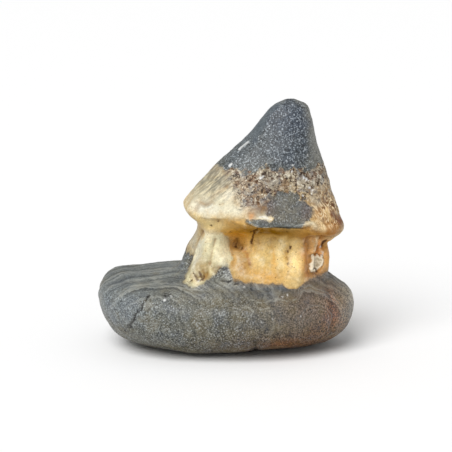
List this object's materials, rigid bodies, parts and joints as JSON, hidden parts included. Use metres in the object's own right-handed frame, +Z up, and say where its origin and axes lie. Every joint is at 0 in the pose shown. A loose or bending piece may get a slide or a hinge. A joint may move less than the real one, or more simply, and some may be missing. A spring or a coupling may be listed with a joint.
{
  "type": "viewing stone",
  "caption": "Hut-shaped viewing stone: one water-worn banded rock with a flat dark slab, a waisted pale wall and an overhanging mountain-shaped roof; stands free on a flat bed.",
  "frame": {"origin": "middle of the stone's footprint on the surface it stands on, at the centre of its bounding box", "axes": "+X to the right seen from the front, along the slab; +Y towards the back; +Z up"},
  "size_m": [0.1408, 0.087, 0.137],
  "materials": {
    "stone": "water-worn fine-grained dark grey rock with a cream to ochre band, dull satin"
  },
  "bodies": {
    "root": {"stone": "stone"}
  },
  "joints": []
}
